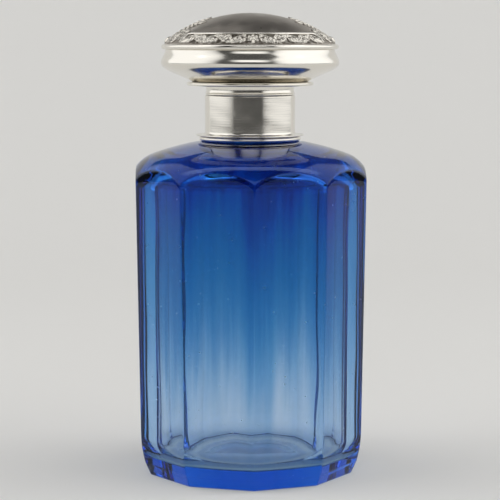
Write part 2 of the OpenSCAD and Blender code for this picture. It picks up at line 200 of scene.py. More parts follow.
def cutFields(points):
    # how far each point lies outside every flat, the round blank and the underside
    facets = bottle["facets"]
    x, y, z = points.T
    normals = -math.pi / 2 + (np.arange(facets) + 0.5) * 2 * math.pi / facets
    flats = np.outer(np.cos(normals), x) + np.outer(np.sin(normals), y) - cutApothem(z)
    radius = np.hypot(x, y)
    cornerR, cornerZ = bottle["cornerCentre"]
    join = math.atan2(cornerR, cornerZ - bottle["crownZ"])
    corner = np.hypot(radius - cornerR, np.maximum(z - cornerZ, 0)) - bottle["cornerR"]
    crown = np.hypot(radius, z - bottle["crownZ"]) - bottle["crownR"]
    blank = np.where(np.arctan2(radius, z - bottle["crownZ"]) < join, crown, corner)
    return np.vstack([flats, blank, -z])


def softOutside(points):
    # smooth maximum of the fields, log of the sum of exp(polish x field) over polish: the cut
    # solid with its edges rounded by polishing
    fields = cutFields(points)
    top = fields.max(axis=0)
    return top + np.log(np.exp(bottle["polish"] * (fields - top)).sum(axis=0)) / bottle["polish"]


def polished(points):
    # slides each point along the slope of the smooth maximum until it lies on it, in four steps
    step = 1e-4
    for _ in range(4):
        value = softOutside(points)
        slope = [(softOutside(points + step * axis) - value) / step for axis in np.eye(3)]
        slope = np.stack(slope, axis=1)
        points = points - slope * (value / (slope ** 2).sum(axis=1))[:, None]
    return points


def outsideRows(angle):
    # (radius, height) of every column in each row, from the middle of the underside out to the
    # bevel, up the flats to their arches, and over the crown to the neck
    b = bottle
    ones = np.ones_like(angle)
    whole = 2 * math.pi / b["facets"]
    facing = np.cos((angle + math.pi / 2) % whole - whole / 2)      # 1 at the middle of a flat
    cornerR, cornerZ = b["cornerCentre"]
    roundR = b["cornerR"]

    # the arch of a flat is where its taper meets the rounded corner of the blank: the turn round
    # the corner is stepped until both have the same radius
    lift = np.full_like(angle, 0.4)
    for _ in range(30):
        flatR = cutApothem(cornerZ + roundR * np.sin(lift)) / facing
        lift = lift + (cornerR + roundR * np.cos(lift) - flatR) / (roundR * np.sin(lift) + 0.4)
    archZ = cornerZ + roundR * np.sin(lift)

    # underside: the ball of the ground hollow, then level out to the bevel
    ball = (b["puntR"] ** 2 + b["puntDepth"] ** 2) / (2 * b["puntDepth"])
    rows = [(r * ones, (b["puntDepth"] - ball + math.sqrt(ball ** 2 - r * r)) * ones)
            for r in np.linspace(0, b["puntR"], 9)]
    rim = b["undersideR"] * math.cos(math.pi / b["facets"]) / facing
    rows += [(b["puntR"] + (rim - b["puntR"]) * t, 0 * ones)
             for t in (0.02, 0.06, 0.3, 0.6, 0.85, 0.94, 0.975, 0.99, 1.0)]

    # flats: bevel, foot curve, and the taper up to 1.6 mm under the arches and then to them
    below = 1.6
    bevel = np.concatenate([nearEdge[1:], [1.9], b["bevelTop"] - nearEdge[::-1]])
    curve = np.concatenate([b["bevelTop"] + nearEdge[1:],
                            np.linspace(b["bevelTop"] + 1.8, b["curveTop"], 14)])
    rows += [(cutApothem(z) / facing, z * ones) for z in np.concatenate([bevel, curve])]
    heights = [b["curveTop"] + t * (archZ - below - b["curveTop"])
               for t in np.linspace(0, 1, 46)[1:-1]]
    heights += [archZ - d for d in (below, *nearEdge[::-1])]
    rows += [(cutApothem(z) / facing, z) for z in heights]

    # blank: round its corner from the arch, then over the crown to the neck
    past = 1.8 / roundR
    join = math.pi / 2 - math.atan2(cornerR, cornerZ - b["crownZ"])
    turns = [lift + d for d in (*nearEdge[1:] / roundR, past)]
    turns += [lift + past + t * (join - lift - past) for t in np.linspace(0, 1, 15)[1:]]
    rows += [(cornerR + roundR * np.cos(a), cornerZ + roundR * np.sin(a)) for a in turns]
    neckRoot = math.asin(b["neckR"] / b["crownR"])
    rows += [(b["crownR"] * math.sin(a) * ones, (b["crownZ"] + b["crownR"] * math.cos(a)) * ones)
             for a in np.linspace(math.pi / 2 - join, neckRoot, 16)[1:]]
    return rows


def mouthLine():
    # up the neck, over the lip and down the ground mouth to the throat
    b = bottle
    lip, mouth = b["lipRound"], b["mouthRound"]
    return profileOf(
        straight((b["neckR"], b["neckFootZ"]), (b["neckR"], b["lipZ"] - lip), 8),
        arc((b["neckR"] - lip, b["lipZ"] - lip), lip, 0, 90, 5),
        arc((b["mouthR"] + mouth, b["lipZ"] - mouth), mouth, 90, 175, 5),
        straight((b["mouthR"] - 0.01, b["lipZ"] - 0.3), (b["throatR"], b["groundEndZ"]), 10),
        straight((b["throatR"], b["groundEndZ"] - 0.05), (b["throatR"], b["throatEndZ"]), 5))


def hollowLine():
    # out under the crown, round the top corner, down the wall and in over the floor
    b = bottle
    topR, topZ = b["topRoundCentre"]
    floorR, floorTop = b["hollowR"] - b["floorRound"], b["floorZ"] + b["floorRound"]
    turn = np.linspace(math.asin((b["throatR"] + 0.6) / b["hollowCrownR"]),
                       math.atan2(topR, topZ - b["crownZ"]), 12)
    crown = [b["hollowCrownR"] * np.sin(turn), b["crownZ"] + b["hollowCrownR"] * np.cos(turn)]
    return profileOf(
        (b["throatR"] + 0.12, b["throatEndZ"] - 0.5), np.stack(crown, axis=1),
        arc((topR, topZ), b["topRound"], math.degrees(math.pi / 2 - turn[-1]), 0, 14),
        straight((b["hollowR"], topZ), (b["hollowR"], floorTop), 44),
        arc((floorR, floorTop), b["floorRound"], 0, -90, 20),
        straight((floorR - 0.2, b["floorZ"]), (0, b["floorZ"]), 8))


def glassGrid():
    # the outside, the mouth and the hollow as the rows of one closed surface: each row is
    # (r cos a, r sin a, z) over the columns' angles
    angle = edgeColumns(bottle["facets"])
    ones = np.ones_like(angle)
    outside, mouth, hollow = outsideRows(angle), mouthLine(), hollowLine()
    inner = np.vstack([mouth, hollow])
    radius = np.vstack([[r for r, z in outside], np.outer(inner[:, 0], ones)])
    height = np.vstack([[z for r, z in outside], np.outer(inner[:, 1], ones)])

    # the blown wall wavers inwards in long upright ripples that fade out near the throat: bulge,
    # plus the sum over each count n of sin(n (a + 0.01 z)) cos(0.05 z) / (1 + 0.12 n), with phases
    counts, bulge, throat, fullR = (3, 7, 11, 17), 1.6, 8.6, 12
    phases = np.random.default_rng(7).uniform(0, 2 * math.pi, (len(counts), 2))
    ripple = sum(np.sin(n * angle + p + 0.01 * n * height) * np.cos(0.05 * height + q)
                 / (1 + 0.12 * n) for n, (p, q) in zip(counts, phases))
    blown = np.arange(len(radius)) >= len(outside) + len(mouth)
    reach = np.clip((radius - throat) / fullR, 0, 1) * blown[:, None]
    radius = radius - bottle["blownWaver"] * (ripple + bulge) / 2 * reach
    grid = np.stack([radius * np.cos(angle), radius * np.sin(angle), height], axis=-1)

    # all of the outside is polished, but for the ground hollow and the crown near the neck
    cut = slice(10, len(outside) - 12)
    grid[cut] = polished(grid[cut].reshape(-1, 3)).reshape(grid[cut].shape)
    return grid


casing = {
    "ior": 1.54, "mirrorTint": "#9cbfff",
    "depthColour": "#30c0f6", "depthDensity": 80.0,                 # of the glass's own absorption
    "colouredHeight": 0.1,                                          # metres the colours span
    "colours": ((0.00, "#fbfafe"), (0.14, "#faf9fd"), (0.22, "#f3f6fb"), (0.30, "#dae7f3"),
                (0.41, "#a8cde7"), (0.52, "#86bfdf"), (0.62, "#6cb4da"), (0.71, "#5baad5"),
                (0.80, "#4898d1"), (0.87, "#4282ce"), (0.93, "#3c65b3"), (1.00, "#385da6")),
    "streakScale": (115, 115, 7), "streakReach": 0.8,               # 9 mm wide, 140 mm long
    "speckCells": 330.0, "speckFrom": 0.45, "speckSize": 0.11,      # cells of 3 mm
    "speckMatt": 0.35, "speckPale": 0.7,
}


def casedCrystal():
    # lead crystal cased in cobalt blue, cut and polished: near clear at the foot, deep blue on
    # top, and vivid blue wherever the eye looks through a long stretch of glass
    c = casing
    material, tree, shader, place = newMaterial("casedLeadCrystal", {
        "Roughness": 0.0, "IOR": c["ior"], "Transmission Weight": 1.0,
        "Specular Tint": linearColour(c["mirrorTint"])})
    split = addNode(tree, "ShaderNodeSeparateXYZ", {0: place})
    along = addNode(tree, "ShaderNodeMapRange", {
        "Value": split.outputs["Z"], "From Max": c["colouredHeight"]})
    # the casing flowed unevenly as it was blown: upright streaks 8 to 10 mm wide let the colours
    # run lower or higher, by up to half of streakReach
    stretch = addNode(tree, "ShaderNodeMapping", {"Vector": place, "Scale": c["streakScale"]})
    streaks = addNode(tree, "ShaderNodeTexNoise", {
        "Vector": stretch.outputs[0], "Scale": 1.0, "Detail": 3.0, "Roughness": 0.6})
    shift = addNode(tree, "ShaderNodeMath", {
        0: streaks.outputs["Fac"], 1: c["streakReach"], 2: -c["streakReach"] / 2},
        operation="MULTIPLY_ADD")
    height = addNode(tree, "ShaderNodeMath", {0: along.outputs[0], 1: shift.outputs[0]},
                     operation="ADD")
    ramp = addNode(tree, "ShaderNodeValToRGB", {"Fac": height.outputs[0]})
    elements = ramp.color_ramp.elements
    while len(elements) < len(c["colours"]):
        elements.new(0.5)
    for element, (position, colour) in zip(elements, c["colours"]):
        element.position, element.color = position, linearColour(colour)
    # seeds and pits in the casing: pale, matt specks in about half of the cells of 3 mm, which
    # run up to 0.3 mm in radius
    cells = addNode(tree, "ShaderNodeTexVoronoi", {"Vector": place, "Scale": c["speckCells"]})
    chosen = addNode(tree, "ShaderNodeSeparateColor", {0: cells.outputs["Color"]})
    size = addNode(tree, "ShaderNodeMapRange", {
        "Value": chosen.outputs[0], "From Min": c["speckFrom"], "To Max": c["speckSize"]})
    speck = addNode(tree, "ShaderNodeMath", {0: cells.outputs["Distance"], 1: size.outputs[0]},
                    operation="LESS_THAN")
    matt = addNode(tree, "ShaderNodeMath", {0: speck.outputs[0], 1: c["speckMatt"]},
                   operation="MULTIPLY")
    pale = addNode(tree, "ShaderNodeMath", {0: speck.outputs[0], 1: c["speckPale"]},
                   operation="MULTIPLY")
    tint = addNode(tree, "ShaderNodeMix", {                       # 6 and 7 are its two colours
        0: pale.outputs[0], 6: ramp.outputs["Color"], 7: linearColour("#ffffff")},
        data_type="RGBA")
    tree.links.new(tint.outputs[2], shader.inputs["Base Color"])
    tree.links.new(matt.outputs[0], shader.inputs["Roughness"])
    depth = addNode(tree, "ShaderNodeVolumeAbsorption", {
        "Color": linearColour(c["depthColour"]), "Density": c["depthDensity"]})
    tree.links.new(depth.outputs[0], tree.nodes["Material Output"].inputs["Volume"])
    return material


gridPiece("cutCrystalBottle", glassGrid(), "bottle", casedCrystal(), ["glass_body"],
          poles=True)
print("bottle: cut crystal body made")


def silverMetal(name, colour, roughness, lineDepth, lineScale):
    # sterling silver sheet, spun and finished by hand: a warm white metal with fine lines, which
    # are lineDepth mm deep and lineScale to the metre along X, Y and Z, and with hazy patches
    material, tree, shader, place = newMaterial(name, {
        "Base Color": linearColour(colour), "Metallic": 1.0, "Roughness": roughness})
    stretch = addNode(tree, "ShaderNodeMapping", {"Vector": place, "Scale": lineScale})
    lines = addNode(tree, "ShaderNodeTexNoise", {
        "Vector": stretch.outputs[0], "Scale": 1.0, "Detail": 3.0})
    cloud = addNode(tree, "ShaderNodeTexNoise", {                 # patches of about 7 mm
        "Vector": place, "Scale": 140.0, "Detail": 2.0})
    haze = addNode(tree, "ShaderNodeMapRange", {
        "Value": cloud.outputs["Fac"], "From Min": 0.3, "From Max": 0.7,
        "To Min": roughness * 0.75, "To Max": roughness * 1.35})
    tree.links.new(haze.outputs[0], shader.inputs["Roughness"])
    bump = addNode(tree, "ShaderNodeBump", {
        "Height": lines.outputs["Fac"], "Strength": 1.0, "Distance": lineDepth * mm})
    tree.links.new(bump.outputs[0], shader.inputs["Normal"])
    return material


# polished on the lathe: a mirror with lines round its turning, drawn about 0.4 mm apart. Real
# polishing is finer, and wouldn't show
polishedSilver = silverMetal("spunSilver", "#ebe7de", 0.14, 0.008, (60, 60, 2600))
# rubbed with pumice: a soft grey sheen without clear reflections, in strokes drawn about 1.4 mm
# long and 0.45 mm apart. Real pumice strokes are finer
satinSilver = silverMetal("satinSilver", "#bfb8af", 0.36, 0.022, (700, 2200, 2200))

collar = {"boreR": 12.9, "wallR": 13.5, "lipR": 16.1, "footZ": 101.195, "lipTopZ": 101.645,
          "topZ": 113.3, "mouthTopR": 10.4, "lipZ": 112.7, "footRound": 0.8, "topRound": 0.3}


def collarLine():
    # out under the flared lip, round it, up the wall, in over the neck and down the bore
    c = collar
    bore, wall, lip, mouth = c["boreR"], c["wallR"], c["lipR"], c["mouthTopR"]
    foot, lipTop, inside, top = c["footZ"], c["lipTopZ"], c["lipZ"], c["topZ"]
    low, high = c["footRound"], c["topRound"]
    return profileOf(
        straight((bore, foot), (lip - 0.9, foot), 5),
        straight((lip - 0.8, foot + 0.02), (lip - 0.15, foot + 0.12), 3),
        arc((lip - 0.16, foot + 0.24), 0.16, -60, 80, 6),
        straight((lip - 0.4, lipTop - 0.03), (lip - 0.6, lipTop), 3),
        straight((lip - 0.7, lipTop), (wall + low + 0.1, lipTop), 4),
        arc((wall + low, lipTop + low), low, 270, 180, 10),
        straight((wall, lipTop + low + 0.1), (wall, top - high - 0.1), 30),
        arc((wall - high, top - high), high, 0, 90, 8),
        straight((wall - high - 0.1, top), (mouth + 0.1, top), 6),
        straight((mouth, top - 0.1), (mouth, inside), 3),
        straight((mouth + 0.1, inside), (bore - 0.1, inside), 4),
        straight((bore, inside - 0.1), (bore, foot + 0.1), 6))


bead = {"centre": (14.45, 100.445), "round": 0.75, "innerR": 12.9, "topZ": 101.195,
        "topFlatR": 14.3, "footR": 14.2, "footZ": 99.72, "crownZ": 99.95}


def beadLine():
    # out under the lip, round the half-round edge, in over the crown of the glass, up the bore
    top, crown, bore = bead["topZ"], bead["crownZ"], bead["innerR"]
    return profileOf(
        straight((bore, top), (bead["topFlatR"], top), 4),
        arc(bead["centre"], bead["round"], 85, -80, 20),
        straight((bead["footR"], bead["footZ"]), (bore, crown), 4),
        straight((bore, crown + 0.05), (bore, top - 0.05), 3))


gridPiece("silverCollar", turned(collarLine(), waver=0.035, seed=3), "bottle", polishedSilver,
          ["collar_sleeve"])
gridPiece("silverBeadRing", turned(beadLine(), waver=0.012, seed=5), "bottle", polishedSilver,
          ["collar_bead_ring"])
print("collar: sleeve and bead ring made")

cap = {
    "footZ": 113.5, "ringR": 13.4, "ringBoreR": 12.2, "ringWaist": 0.35, "ringFloor": 0.8,
    "holeR": 9.3, "plateZ": 116.15, "plateR": 19.0, "plateT": 1.1, "plateBoreR": 12.6,
    "bowlZ": 117.25, "bowlFootR": 17.2, "bowlFootWidth": 2.2, "widestR": 26.6, "widestZ": 123.0,
    "rimZ": 126.9, "rimCentreR": 25.7, "topR": 25.3, "wall": 0.8,
    "domeZ": 128.4, "domeFootR": 25.6, "domeR": 40.0, "domeCentreZ": 97.665,
}


def neckRingLine():
    # out under the ring, up its waisted side, in under the plate, down the bore to the ring's
    # own floor, in over it and down through the hole for the plug
    outer, bore, hole, waist = cap["ringR"], cap["ringBoreR"], cap["holeR"], cap["ringWaist"]
    low, high = cap["footZ"], cap["plateZ"]
    floor = low + cap["ringFloor"]
    return profileOf(
        straight((hole, low), (outer - 0.12, low), 5),
        arc((outer - 0.12, low + 0.12), 0.12, -90, 0, 5),
        straight((outer, low + 0.15), (outer, low + 0.3), 2),
        cubic(np.array((outer, low + 0.3)), np.array((outer - waist, low + 0.6)),
              np.array((outer - waist, high - 0.6)), np.array((outer, high)), 18),
        straight((outer - 0.1, high), (bore + 0.05, high), 3),
        straight((bore, high - 0.1), (bore, floor + 0.1), 4),
        straight((bore - 0.1, floor), (hole + 0.1, floor), 4),
        straight((hole, floor - 0.1), (hole, low + 0.1), 3))


def halfRoundLine(bore, centreR, low, high, flatR, flatCount, bendCount):
    # a flat ring with a half-round edge: out below, round the edge, in above, down the bore
    bend = (high - low) / 2
    return profileOf(
        straight((bore, low), (flatR, low), flatCount),
        arc((centreR, low + bend), bend, -85, 85, bendCount),
        straight((flatR, high), (bore, high), flatCount),
        straight((bore, high - 0.1), (bore, low + 0.1), 3))


def bowlLine(inset):
    # one side of the bowl's wall, set in from the outside: a cubic from the foot out to the
    # widest place and another in to the rim
    c = cap
    r, z, half = c["widestR"] - inset, c["bowlZ"] + inset, inset / 2
    topR, ease = c["topR"] - inset, 1.55
    points = [(c["bowlFootR"] - inset, z), (c["bowlFootR"] + 4.3 - half, z + 2.6),
              (r, c["widestZ"] - 2.4 + half), (r, c["widestZ"]), (r, c["widestZ"] + ease),
              (topR, c["rimZ"] - ease), (topR, c["rimZ"])]
    points = [np.array(p) for p in points]
    return profileOf(cubic(*points[:4], 44), cubic(*points[3:], 26))


def bowlShellLine():
    # up the outside, down the inside, and round the flat foot on the plate
    footR = cap["bowlFootR"] - cap["bowlFootWidth"]
    return profileOf(bowlLine(0), bowlLine(cap["wall"])[::-1],
                     straight((footR, cap["bowlZ"] + cap["wall"]), (footR, cap["bowlZ"]), 4))


def domeLine():
    # from the middle out over the top, then back in under the sheet
    c = cap
    centre, insideR = (0, c["domeCentreZ"]), c["domeR"] - c["wall"]
    outerTurn = math.degrees(math.asin(c["domeFootR"] / c["domeR"]))
    innerTurn = math.degrees(math.acos((c["domeZ"] - c["domeCentreZ"]) / insideR))
    return profileOf(arc(centre, c["domeR"], 90, 90 - outerTurn, 90),
                     arc(centre, insideR, 90 - innerTurn, 90, 40))


plateLine = halfRoundLine(cap["plateBoreR"], cap["plateR"] - cap["plateT"] / 2, cap["plateZ"],
                          cap["bowlZ"], cap["plateR"] - cap["plateT"] / 2, 6, 18)
rimLine = halfRoundLine(cap["topR"] - cap["wall"], cap["rimCentreR"], cap["rimZ"],
                        cap["domeZ"], cap["rimCentreR"] - 0.1, 4, 20)
gridPiece("silverNeckRing", turned(neckRingLine(), waver=0.02, seed=8), "stopper", polishedSilver,
          ["cap_neck_ring"])
gridPiece("silverUnderplate", turned(plateLine, waver=0.02, seed=9), "stopper", polishedSilver,
          ["cap_underplate"])
gridPiece("silverBowl", turned(bowlShellLine(), columns=240, waver=0.05, seed=11), "stopper",
          polishedSilver, ["cap_bowl"])
gridPiece("silverRimMoulding", turned(rimLine, columns=240, waver=0.02, seed=12), "stopper",
          polishedSilver, ["cap_rim_moulding"])
gridPiece("silverDome", turned(domeLine(), columns=240), "stopper", satinSilver, ["cap_dome"],
          poles=True)
print("cap: bowl, mouldings and dome made")


def onDome(x, y, height):
    # the plan place (x, y) carried up to the dome, then that height out along its normal
    scale = (cap["domeR"] + height) / cap["domeR"]
    up = np.sqrt(cap["domeR"] ** 2 - x ** 2 - y ** 2)
    return np.stack([x * scale, y * scale, cap["domeCentreZ"] + up * scale], axis=-1)


def strokesOf(*columns):
    # one row for each stroke of the chasing: base x, base y, tip x, tip y, width, rise, bend
    return np.stack(np.broadcast_arrays(*columns), axis=-1).reshape(-1, 7)


def acanthus(x, y, heading, length, curl, lobes, breadth, rise):
    # the strokes of one leaf. Its rib is the arc x + length (sin turn - sin heading) / curl and
    # y - length (cos turn - cos heading) / curl, as turn runs from heading to heading + curl. It
    # has lobes on both sides, longest near the middle, and one at the tip
    share = np.linspace(0.10, 0.84, lobes)
    turn = heading + curl * share
    ribX = x + length / curl * (np.sin(turn) - math.sin(heading))
    ribY = y - length / curl * (np.cos(turn) - math.cos(heading))
    reach = length * breadth * (0.62 + 0.55 * np.sin(math.pi * share ** 0.8))
    strokes = []
    for side in (-1, 1):
        lean = turn + side * (0.95 - 0.45 * share)
        strokes.append(strokesOf(ribX, ribY, ribX + reach * np.cos(lean),
                                 ribY + reach * np.sin(lean), reach * 0.52,
                                 rise * (0.85 - 0.2 * share), -side * 0.10 * reach))
    end, tip = heading + curl, 0.30 * length
    strokes.append(strokesOf(ribX[-1], ribY[-1], ribX[-1] + tip * math.cos(end),
                             ribY[-1] + tip * math.sin(end), 0.17 * length, rise * 0.75, 0.05))
    strokes.append(strokesOf(ribX[:-1], ribY[:-1], ribX[1:] + 0.25 * np.diff(ribX),
                             ribY[1:] + 0.25 * np.diff(ribY), 0.085 * length + 0.12, rise, 0))
    return np.vstack(strokes)


def swellings(x, y, strokes):
    # the highest of many leaf-shaped swellings. Each is half an ellipse across its bent middle
    # line, as wide and as high as a sine of the share along it, less a narrow chased vein
    height = np.zeros_like(x)
    for baseX, baseY, tipX, tipY, width, rise, bend in strokes:
        dx, dy = tipX - baseX, tipY - baseY
        length = math.hypot(dx, dy)
        t = ((x - baseX) * dx + (y - baseY) * dy) / length ** 2
        near = np.clip(t, 1e-4, 1 - 1e-4)
        aside = ((y - baseY) * dx - (x - baseX) * dy) / length - bend * 4 * near * (1 - near)
        across = aside / (width / 2 * np.sin(math.pi * near ** 0.85) ** 0.7)
        crest = rise * (0.45 + 0.55 * np.sin(math.pi * near ** 0.8))
        swell = crest * np.sqrt(np.clip(1 - across ** 2, 0, 1))
        swell = swell * (1 - 0.38 * np.exp(-(across / 0.2) ** 2))
        height = np.maximum(height, np.where((t > 0) & (t < 1), swell, 0))
    return height


def bosses(x, y, places):
    # round bosses: (x, y, radius, rise), half balls flattened to that rise
    height = np.zeros_like(x)
    for placeX, placeY, radius, rise in places:
        away = ((x - placeX) ** 2 + (y - placeY) ** 2) / radius ** 2
        height = np.maximum(height, rise * np.sqrt(np.clip(1 - away, 0, 1)))
    return height


def matting(x, y, size):
    # punched ground: close-set small dimples, a product of waves along three directions
    a, b, c = (x * math.cos(t) + y * math.sin(t) for t in (0.3, 1.35, 2.4))
    fine = np.sin(a * 6.28 / size) * np.sin(b * 6.28 / size + np.sin(c * 2.1))
    return fine * np.sin(c * 3.1 / size + 0.7)


def chasedSilverMetal():
    # sterling silver struck and chased by hand: bright where the leaves stand up and are rubbed,
    # dull and dark with oxide in the matted ground, in patches of about 1 mm
    material, tree, shader, place = newMaterial("chasedSilver", {"Metallic": 1.0})
    relief = addNode(tree, "ShaderNodeAttribute", attribute_name="relief")
    tarnish = addNode(tree, "ShaderNodeTexNoise", {"Vector": place, "Scale": 900.0, "Detail": 3.0})
    lifted = addNode(tree, "ShaderNodeMath", {0: relief.outputs["Fac"], 1: tarnish.outputs["Fac"]},
                     operation="ADD")
    ramp = addNode(tree, "ShaderNodeValToRGB", {"Fac": lifted.outputs[0]})
    oxide, rubbed = ramp.color_ramp.elements
    oxide.position, oxide.color = 0.55, linearColour("#595249")
    rubbed.position, rubbed.color = 1.15, linearColour("#e0dbd1")
    rough = addNode(tree, "ShaderNodeMapRange", {
        "Value": lifted.outputs[0], "From Min": 0.5, "From Max": 1.1,
        "To Min": 0.5, "To Max": 0.26})
    tree.links.new(ramp.outputs["Color"], shader.inputs["Base Color"])
    tree.links.new(rough.outputs[0], shader.inputs["Roughness"])
    return material


chasedSilver = chasedSilverMetal()


def reliefPiece(name, centreDegrees, halfDegrees, radii, steps, heightOf, replaces):
    # a relief on the dome over a sector: rows go round the axis, each row is a loop of the top
    # from inside to outside and two points under it in the metal; both ends close to a point
    buried, brightAt, closing = -0.3, 0.6, 0.02             # mm, mm and degrees
    angle = np.linspace(-halfDegrees, halfDegrees, steps)
    angle = np.concatenate([angle[:1] - closing, angle, angle[-1:] + closing])
    angle = np.radians(angle)[:, None]
    place = angle + math.radians(centreDegrees)
    height = np.hstack([heightOf(angle, radii[None, :]), np.full((len(angle), 2), buried)])
    spread = np.concatenate([radii, [radii[-1], radii[0]]])[None, :]
    grid = onDome(spread * np.sin(place), -spread * np.cos(place), height)
    grid[0] = grid[0].mean(axis=0)
    grid[-1] = grid[-1].mean(axis=0)
    return gridPiece(name, grid, "stopper", chasedSilver, replaces, poles=True,
                     relief=np.clip(height / brightAt, 0, 1))


border = {
    "innerR": 21.7, "middleR": 23.55, "outerR": 25.4, "halfAngle": 56.0, "steps": 620,
    "groups": 5, "firstGroup": 2.0, "pitch": 4.15,          # of leaves, from the rosette out, mm
    "ground": 0.07, "dimple": 0.42, "dimpleDepth": 0.028,
    "petals": (0.5, 1.72, 1.02, 0.52),                      # start, end, width, rise
    "heart": (0, 0, 0.62, 0.62),
    # leaf: x, y, heading, length, curl, lobes on a side, breadth, rise. Berry: x, y, radius, rise
    "leaves": ((-0.2, -1.05, 0.62, 4.1, -1.25, 4, 0.40, 0.60),
               (0.9, -1.25, 0.05, 2.6, 0.5, 3, 0.30, 0.45)),
    "berries": ((0.35, 1.22, 0.44, 0.46), (1.02, 1.36, 0.26, 0.34)),
    "stemRise": 0.34, "stemWidth": 0.17, "stemFrom": 1.7, "stemShift": 0.6,
    "wireR": 0.35, "wireLift": 0.30, "wireBend": 1.2,
}


def borderHeight(angle, radius):
    # mm over the dome: the highest of a six-petalled rosette and, mirrored on both sides of it,
    # leaves and berries that turn up and down by turns, and a stem that winds between them as a
    # sine, all over a matted ground
    b = border
    along, across = angle * b["middleR"], b["middleR"] - radius
    u = np.abs(along)
    petals = np.arange(6) * math.pi / 3 + math.pi / 6
    start, end, width, rise = b["petals"]
    strokes = [strokesOf(start * np.cos(petals), start * np.sin(petals),
                         end * np.cos(petals), end * np.sin(petals), width, rise, 0)]
    places = [b["heart"]]
    for i in range(b["groups"]):
        side = 1 if i % 2 == 0 else -1
        start = b["firstGroup"] + i * b["pitch"]
        strokes += [acanthus(start + x, side * y, side * heading, length, side * curl, *form)
                    for x, y, heading, length, curl, *form in b["leaves"]]
        places += [(start + x, side * y, berryR, rise) for x, y, berryR, rise in b["berries"]]
    winding = np.sin((u - b["firstGroup"] + b["stemShift"]) * math.pi / b["pitch"])
    stem = b["stemRise"] * np.exp(-((across - winding) / b["stemWidth"]) ** 2)
    height = np.maximum(swellings(u, across, np.vstack(strokes)), bosses(u, across, places))
    height = np.maximum(height, np.where(u > b["stemFrom"], stem, 0))
    dimples = b["dimpleDepth"] * matting(along, across, b["dimple"]) * (height < 0.05)
    return b["ground"] + height + dimples


shell = {
    "focusR": 24.2, "innerEnd": 11.3, "halfAngle": 34.5, "steps": 330,
    "middleLeaf": (0.6, 0.0, 0.001, 12.2, 0.002, 8, 0.175, 0.70),
    "fan": ((26, 10.9), (52, 9.3)),                         # degrees and length of each leaf
    "fanFrom": 0.8, "fanTurn": -0.12, "fanForm": (0.34, 7, 0.19, 0.66),
    "rays": ((13, 7.6), (39, 6.6), (68, 5.0)), "rayFrom": 1.2, "rayForm": (0.95, 0.42, 0.15),
    "footLeaf": (0.1, 1.6, 1.35, 5.0, 0.35, 4, 0.26, 0.55),
    "scrollAngle": 21.0, "scrollPathR": 23.4, "scrollR": 1.85,
    "coilFrom": 0.62, "coilStep": 0.92, "coilWidth": 0.055, "coilRise": 0.46,
    "scrollLeaves": ((0.6, 1.9, 1.05, 3.8, -0.45, 4, 0.34, 0.55),
                     (1.5, 0.2, 0.75, 4.4, 0.9, 4, 0.30, 0.52)),
    "bosses": ((0, 0, 1.15, 0.95), (2.6, 5.9, 0.5, 0.5), (3.7, 5.0, 0.36, 0.4)),
    "scrollBoss": (0.55, 0.55),
}


def shellHeight(angle, radius):
    # mm over the dome, mirrored about its middle: leaves and rays that fan out from a focus near
    # the rim, with a scroll on each side. inward is mm from the focus towards the axis, and aside
    # mm to the side of it. Where nothing stands up, the piece lies just under the dome
    s = shell
    inward, aside = s["focusR"] - radius * np.cos(angle), np.abs(radius * np.sin(angle))
    strokes = [acanthus(*s["middleLeaf"]), acanthus(*s["footLeaf"])]
    for degrees, length in s["fan"]:
        a, start = math.radians(degrees), s["fanFrom"]
        strokes.append(acanthus(start * math.cos(a), start * math.sin(a), a + s["fanTurn"], length,
                                *s["fanForm"]))
    for degrees, length in s["rays"]:
        a, start = math.radians(degrees), s["rayFrom"]
        strokes.append(strokesOf(start * math.cos(a), start * math.sin(a), length * math.cos(a),
                                 length * math.sin(a), *s["rayForm"]))
    turn = math.radians(s["scrollAngle"])
    scrollU = s["focusR"] - s["scrollPathR"] * math.cos(turn)
    scrollV = s["scrollPathR"] * math.sin(turn)
    strokes += [acanthus(scrollU + x, scrollV + y, *form) for x, y, *form in s["scrollLeaves"]]
    places = [*s["bosses"], (scrollU, scrollV, *s["scrollBoss"])]

    # a scroll is a coil: a rounded ridge that starts at coilFrom and moves out by coilStep a turn
    du, dv = inward - scrollU, aside - scrollV
    around, out = np.arctan2(dv, du), np.hypot(du, dv)
    turns = (out - s["coilFrom"]) / s["coilStep"] - (around + math.pi) / (2 * math.pi)
    coil = s["coilRise"] * np.exp(-((turns + 0.5) % 1 - 0.5) ** 2 / s["coilWidth"])
    height = np.maximum(swellings(inward, aside, np.vstack(strokes)), bosses(inward, aside, places))
    height = np.maximum(height, np.where((out > 0.5) & (out < s["scrollR"]), coil, 0))
    return np.where(height > 0.02, height, -0.06)


